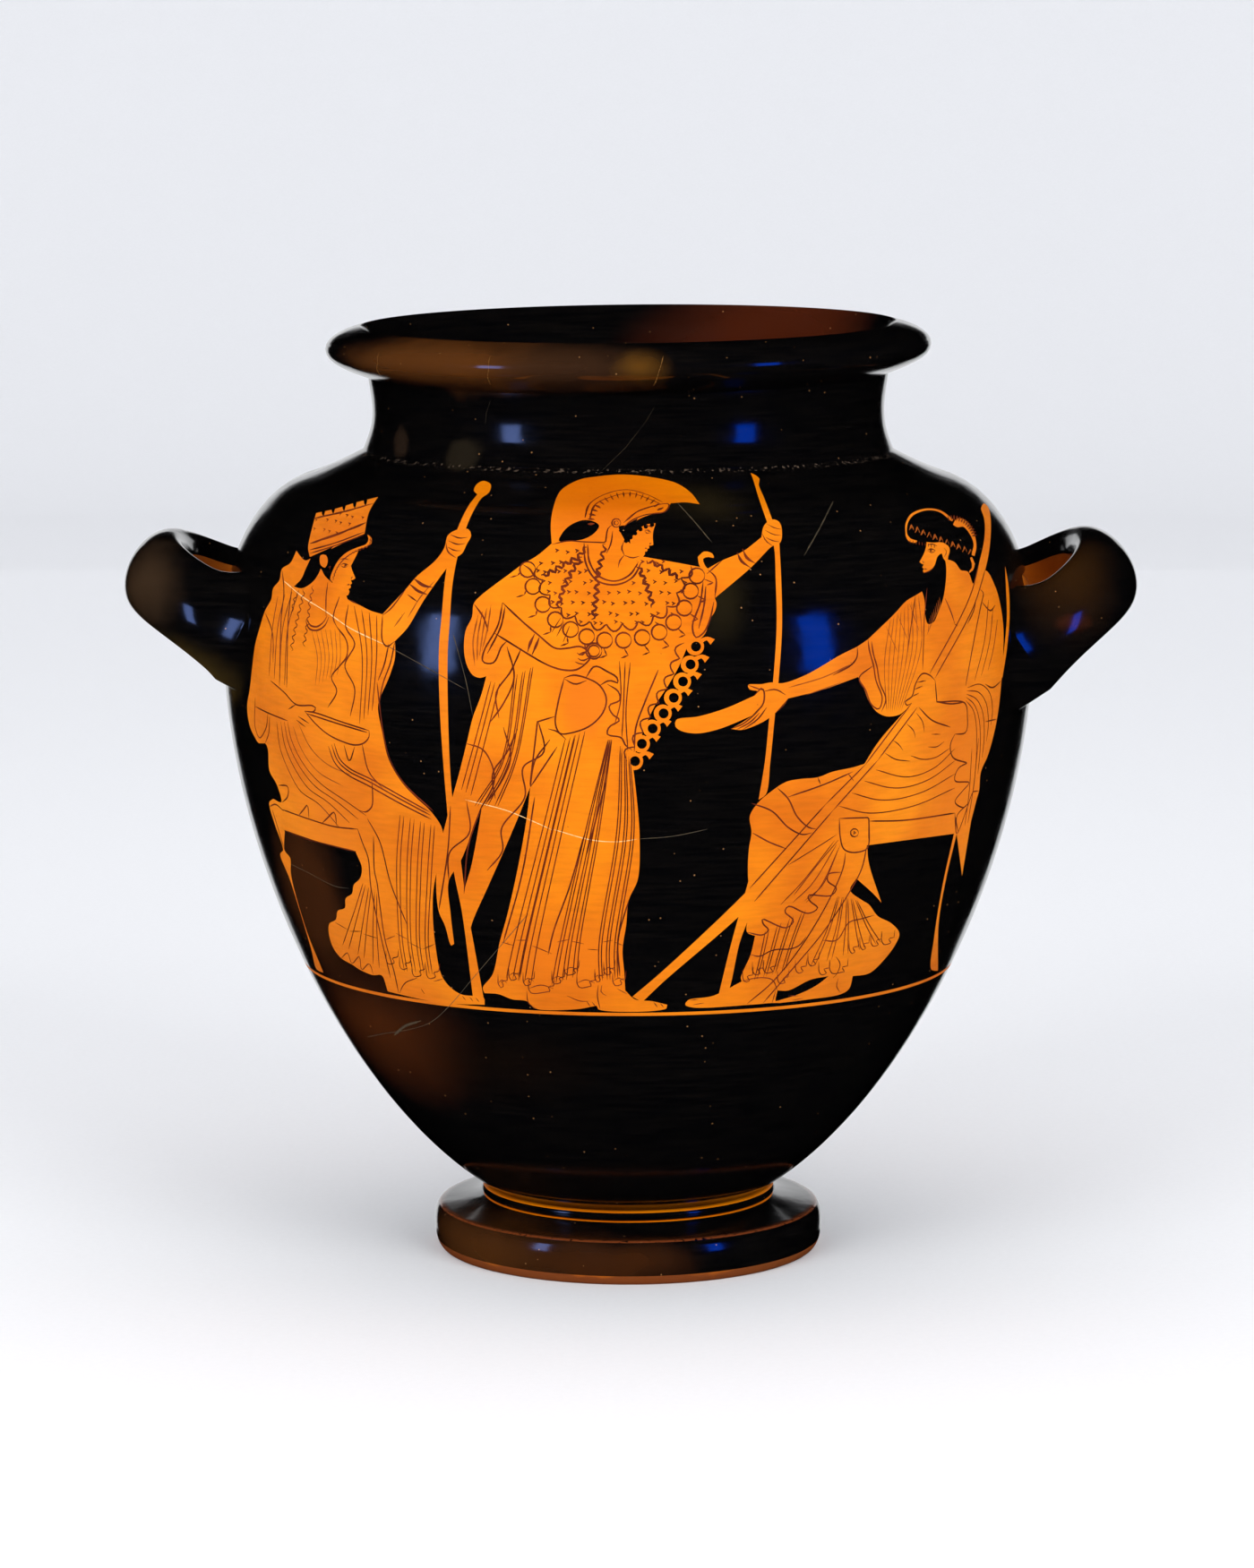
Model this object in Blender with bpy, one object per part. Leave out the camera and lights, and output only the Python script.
"""A stamnos: a wide two-handled jar of fired clay, thrown on a wheel in one piece with its
neck, lip and foot, with two upturned loop handles luted to the body and fired with it.

Metres, +Z up. The origin is the centre of the foot's underside. The handles lie along X,
and the painted front faces -Y.
"""
import math

import bmesh
import bpy
from mathutils import Vector

MM = 0.001

# Driving dimensions.
HEIGHT = 360 * MM               # to the crest of the lip
BODY_RADIUS = 156.2 * MM        # the widest turn of the body
BODY_RADIUS_HEIGHT = 241 * MM
WALL = 5 * MM                   # body and neck
FLOOR_WALL = 8 * MM             # the wall where it runs into the floor
SEGMENTS = 52                   # facets round the vessel

# Foot: a disc with a rounded edge, hollowed below so that it rests on a flat ring.
FOOT_RADIUS = 75.8 * MM
FOOT_RADIUS_HEIGHT = 9 * MM
FOOT_TOP_HEIGHT = 16.5 * MM
RING_OUTER = 73.4 * MM
RING_INNER = 64 * MM
RECESS_RADIUS = 56 * MM
RECESS_HEIGHT = 11 * MM
RECESS_CENTRE_HEIGHT = 14 * MM

# Fillet: the thin roll between foot and body.
FILLET_RADIUS = 56.2 * MM
FILLET_LOW = 20.7 * MM
FILLET_HIGH = 24.6 * MM
FILLET_BULGE = 1.2 * MM

# Body: the wall leaves the fillet at this radius and lean, and closes in over the shoulder.
BODY_START_RADIUS = 54.6 * MM
BODY_START_LEAN = math.radians(31.3)
BODY_START_PULL = 61 * MM
BODY_BELLY_PULL = 88.5 * MM
SHOULDER_PULL = 30.5 * MM
SHOULDER_EDGE = (124 * MM, 301.9 * MM)
SHOULDER_EDGE_SLOPE = math.radians(17)
SHOULDER_EDGE_PULL = 19.3 * MM

# Neck and lip.
NECK_FOOT = (102.6 * MM, 311.3 * MM)
NECK_RADIUS = 98.2 * MM
NECK_WAIST_HEIGHT = 327 * MM
LIP_UNDERSIDE_HEIGHT = 341 * MM
LIP_RADIUS = 116 * MM
LIP_RADIUS_HEIGHT = 351.7 * MM
LIP_CREST_RADIUS = 102.8 * MM
MOUTH_RADIUS = 93.2 * MM
FLOOR_HEIGHT = 27 * MM

# The lip wasn't set quite level: its plane dips towards the front and to the left.
LIP_DIP_FRONT = math.radians(1.0)
LIP_DIP_LEFT = math.radians(0.6)
LIP_DIP_FROM = 312 * MM
LIP_DIP_FULL = 345 * MM

# Handles: oval in section, rising outwards, deeper where they spread on to the wall.
HANDLE_WIDTH_TIP = 21 * MM      # in the plane of the loop
HANDLE_WIDTH_ARM = 23 * MM
HANDLE_WIDTH_ROOT = 25 * MM
HANDLE_DEPTH_TIP = 32 * MM      # across the plane of the loop
HANDLE_DEPTH_ROOT = 39 * MM
HANDLE_SQUARENESS = 2.3         # 2 bends the loop like an ellipse; more is squarer
HANDLE_SIDES = 14
HANDLE_STEPS = 20
HANDLES = (
    # name, side, middle of the tip as (x, z), reach, half span, rise, lean of the near arm,
    # depth of an arm
    ("handle_left", -1, (181.9 * MM, 265.3 * MM), 40.5 * MM, 48 * MM, math.radians(28.5), 0.0,
     29.5 * MM),
    ("handle_right", 1, (183.2 * MM, 266.3 * MM), 43 * MM, 47 * MM, math.radians(33.5), 0.05,
     26.5 * MM),
)

BLACK_GLOSS = (0.012, 0.010, 0.010, 1.0)


def bezier(start, pull_start, pull_end, end, steps):
    """Points on a cubic curve, from its start up to but not including its end."""
    points = []
    for step in range(steps):
        t = step / steps
        a, b, c, d = (1 - t) ** 3, 3 * (1 - t) ** 2 * t, 3 * (1 - t) * t * t, t ** 3
        points.append(tuple(
            a * p + b * q + c * r + d * s
            for p, q, r, s in zip(start, pull_start, pull_end, end)))
    return points


def offset(points, distance):
    """The same curve moved sideways, to the left of the way it runs."""
    moved = []
    for index, (radius, height) in enumerate(points):
        before = points[max(index - 1, 0)]
        after = points[min(index + 1, len(points) - 1)]
        run = Vector((after[0] - before[0], after[1] - before[1])).normalized()
        moved.append((radius - run.y * distance(index / (len(points) - 1)),
                      height + run.x * distance(index / (len(points) - 1))))
    return moved


def body_curve(steps_low=12, steps_high=8):
    """The outside of the body, from the fillet up to the foot of the neck."""
    start = (BODY_START_RADIUS, FILLET_HIGH)
    belly = (BODY_RADIUS, BODY_RADIUS_HEIGHT)
    low = bezier(
        start,
        (start[0] + BODY_START_PULL * math.cos(BODY_START_LEAN),
         start[1] + BODY_START_PULL * math.sin(BODY_START_LEAN)),
        (belly[0], belly[1] - BODY_BELLY_PULL),
        belly, steps_low)
    high = bezier(
        belly,
        (belly[0], belly[1] + SHOULDER_PULL),
        (SHOULDER_EDGE[0] + SHOULDER_EDGE_PULL * math.cos(SHOULDER_EDGE_SLOPE),
         SHOULDER_EDGE[1] - SHOULDER_EDGE_PULL * math.sin(SHOULDER_EDGE_SLOPE)),
        SHOULDER_EDGE, steps_high)
    close = bezier(
        SHOULDER_EDGE,
        (SHOULDER_EDGE[0] - 7 * MM, SHOULDER_EDGE[1] + 2.1 * MM),
        (NECK_FOOT[0] + 7 * MM, NECK_FOOT[1] - 3.6 * MM),
        NECK_FOOT, 2)
    return low + high + close + [NECK_FOOT]


def body_radius(height):
    """Radius of the middle of the body's wall at a height on its belly."""
    curve = body_curve()
    for (r0, z0), (r1, z1) in zip(curve, curve[1:]):
        if z0 <= height <= z1:
            return r0 + (r1 - r0) * (height - z0) / (z1 - z0) - WALL / 2
    raise ValueError("a handle reaches past the body")


def neck_and_lip():
    """The outside from the foot of the neck to the crest of the lip, then in to the mouth."""
    waist = (NECK_RADIUS, NECK_WAIST_HEIGHT)
    under = (NECK_RADIUS + 1.4 * MM, LIP_UNDERSIDE_HEIGHT)
    rim = (LIP_RADIUS, LIP_RADIUS_HEIGHT)
    crest = (LIP_CREST_RADIUS, HEIGHT)
    mouth = (MOUTH_RADIUS, NECK_WAIST_HEIGHT)
    neck = bezier(
        (NECK_FOOT[0] - 1 * MM, NECK_FOOT[1] + 1 * MM), (waist[0] + 1.2 * MM, waist[1] - 9 * MM),
        (waist[0], waist[1] - 6 * MM), waist, 3)
    neck += bezier(waist, (waist[0], waist[1] + 6 * MM), (under[0], under[1] - 3 * MM), under, 1)
    lip = bezier(
        under, (under[0] + 9 * MM, under[1] + 3.6 * MM), (rim[0], rim[1] - 5 * MM), rim, 4)
    lip += bezier(
        rim, (rim[0], rim[1] + 4.4 * MM), (crest[0] + 6 * MM, crest[1] - 1.2 * MM), crest, 3)
    inside = bezier(
        crest, (crest[0] - 5 * MM, crest[1] - 2 * MM), (mouth[0], mouth[1] + 14 * MM), mouth, 3)
    return neck + lip + inside + [mouth]


def foot():
    """The outside from the body down over the fillet and the disc to the resting ring."""
    edge = (FOOT_RADIUS, FOOT_RADIUS_HEIGHT)
    top = (FOOT_RADIUS - 2.6 * MM, FOOT_TOP_HEIGHT + 0.4 * MM)
    fillet_middle = (FILLET_LOW + FILLET_HIGH) / 2
    return (
        [(FILLET_RADIUS, FILLET_HIGH - 0.4 * MM), (FILLET_RADIUS + FILLET_BULGE, fillet_middle),
         (FILLET_RADIUS, FILLET_LOW)]
        + bezier((FILLET_RADIUS + 1 * MM, FILLET_LOW - 0.6 * MM),
                 (FILLET_RADIUS + 6 * MM, FOOT_TOP_HEIGHT + 1.6 * MM),
                 (top[0] - 6 * MM, top[1] + 0.6 * MM), top, 2)
        + bezier(top, (edge[0] - 0.6 * MM, top[1] - 0.4 * MM),
                 (edge[0], edge[1] + 3 * MM), edge, 2)
        + bezier(edge, (edge[0], edge[1] - 4 * MM),
                 (RING_OUTER + 1.2 * MM, 1.6 * MM), (RING_OUTER, 0.0), 2)
        + [(RING_OUTER, 0.0), (RING_INNER, 0.0), (RING_INNER - 2 * MM, 3 * MM),
           (RECESS_RADIUS, RECESS_HEIGHT), (RECESS_RADIUS * 0.5, RECESS_CENTRE_HEIGHT - 0.6 * MM),
           (0.0, RECESS_CENTRE_HEIGHT)])


def section():
    """Half the vessel's section: inner floor, up the inside, over the lip, down the outside."""
    outside = body_curve()
    inside = offset(outside, lambda along: WALL + (FLOOR_WALL - WALL) * (1 - along) ** 6)
    inside = [point for point in inside if point[1] > FLOOR_HEIGHT + 6 * MM][::2]
    floor_edge = inside[0]
    floor = bezier(
        (0.0, FLOOR_HEIGHT), (floor_edge[0] * 0.5, FLOOR_HEIGHT),
        (floor_edge[0] - 10 * MM, floor_edge[1] - 6 * MM), floor_edge, 3)
    shoulder_inside = [point for point in inside if point[0] > MOUTH_RADIUS + 3 * MM]
    lip_and_neck = neck_and_lip()
    return floor + shoulder_inside + lip_and_neck[::-1] + outside[::-1] + foot()


def dip(point):
    """A point of the vessel after the neck was pushed slightly out of level."""
    share = (point.z - LIP_DIP_FROM) / (LIP_DIP_FULL - LIP_DIP_FROM)
    share = min(max(share, 0.0), 1.0)
    share = share * share * (3 - 2 * share)
    rise = math.tan(LIP_DIP_FRONT) * point.y + math.tan(LIP_DIP_LEFT) * point.x
    return Vector((point.x, point.y, point.z + share * rise))


def turned(name):
    """The thrown vessel: its section turned about the upright axis."""
    shape = bmesh.new()
    rim = [shape.verts.new((radius, 0.0, height)) for radius, height in section()]
    edges = [shape.edges.new(pair) for pair in zip(rim, rim[1:])]
    bmesh.ops.spin(
        shape, geom=rim + edges, axis=(0, 0, 1), cent=(0, 0, 0),
        angle=math.tau, steps=SEGMENTS, use_merge=True)
    bmesh.ops.remove_doubles(shape, verts=shape.verts, dist=0.01 * MM)
    for vert in shape.verts:
        vert.co = dip(vert.co)
    bmesh.ops.recalc_face_normals(shape, faces=shape.faces)
    return finished(name, shape)


def eased(tip, arm, root, along):
    """A size that changes along a handle from its tip to an arm and then to a root."""
    return (arm + (tip - arm) * (1 - abs(along) ** 1.5) + (root - arm) * abs(along) ** 5)


def handle(name, side, tip, reach, half_span, rise, lean, arm_depth):
    """A loop of clay bent round in a plane that rises outwards, its ends cut to the wall."""
    outwards = Vector((side * math.cos(rise), 0.0, math.sin(rise)))
    upwards = Vector((-side * math.sin(rise), 0.0, math.cos(rise)))
    across = Vector((0.0, 1.0, 0.0)) + upwards * lean
    start = Vector((side * tip[0], 0.0, tip[1])) - outwards * reach

    def centre(along):
        turn = along * math.pi / 2
        out = max(math.cos(turn), 0.0) ** (2 / HANDLE_SQUARENESS)
        over = math.copysign(abs(math.sin(turn)) ** (2 / HANDLE_SQUARENESS), turn)
        return start + outwards * reach * out + across * half_span * over

    shape = bmesh.new()
    loops = []
    for step in range(HANDLE_STEPS + 1):
        along = 2 * step / HANDLE_STEPS - 1
        way = (centre(min(along + 0.01, 1)) - centre(max(along - 0.01, -1))).normalized()
        level = way.cross(upwards).normalized()
        wide = eased(HANDLE_WIDTH_TIP, HANDLE_WIDTH_ARM, HANDLE_WIDTH_ROOT, along) / 2
        deep = eased(HANDLE_DEPTH_TIP, arm_depth, HANDLE_DEPTH_ROOT, along) / 2
        ring = []
        for side_step in range(HANDLE_SIDES):
            angle = math.tau * side_step / HANDLE_SIDES
            spoke = level * wide * math.cos(angle) + upwards * deep * math.sin(angle)
            ring.append(centre(along) + spoke)
        if step in (0, HANDLE_STEPS):
            ring = [slid_to_wall(point, outwards) for point in ring]
        loops.append([shape.verts.new(point) for point in ring])
    for near, far in zip(loops, loops[1:]):
        for index in range(HANDLE_SIDES):
            after = (index + 1) % HANDLE_SIDES
            shape.faces.new((near[index], near[after], far[after], far[index]))
    shape.faces.new(loops[0])
    shape.faces.new(loops[-1])
    bmesh.ops.recalc_face_normals(shape, faces=shape.faces)
    clay = finished(name, shape)
    clay.hide_render = True
    clay.display_type = "WIRE"
    return clay


def slid_to_wall(point, outwards):
    """The point moved along the handle's rise until it is halfway into the wall."""
    inner, outer = -60 * MM, 30 * MM
    for _ in range(40):
        middle = (inner + outer) / 2
        moved = point + outwards * middle
        if math.hypot(moved.x, moved.y) > body_radius(moved.z):
            outer = middle
        else:
            inner = middle
    return point + outwards * inner


def finished(name, shape):
    """A shape as a smooth-shaded object in black gloss."""
    mesh = bpy.data.meshes.new(name)
    shape.to_mesh(mesh)
    shape.free()
    mesh.shade_smooth()
    mesh.set_sharp_from_angle(angle=math.radians(50))
    mesh.materials.append(black_gloss())
    item = bpy.data.objects.new(name, mesh)
    bpy.context.scene.collection.objects.link(item)
    return item


def black_gloss():
    """The thin, dark, shiny slip that covers the pot."""
    found = bpy.data.materials.get("black_gloss")
    if found:
        return found
    material = bpy.data.materials.new("black_gloss")
    material.use_nodes = True
    shader = material.node_tree.nodes["Principled BSDF"]
    shader.inputs["Base Color"].default_value = BLACK_GLOSS
    shader.inputs["Roughness"].default_value = 0.18
    shader.inputs["Metallic"].default_value = 0.0
    return material


for old in list(bpy.data.objects):
    bpy.data.objects.remove(old, do_unlink=True)

stamnos = turned("stamnos")
for handle_name, *shape_of_handle in HANDLES:
    joint = stamnos.modifiers.new(handle_name, "BOOLEAN")
    joint.operation = "UNION"
    joint.solver = "EXACT"
    joint.object = handle(handle_name, *shape_of_handle)
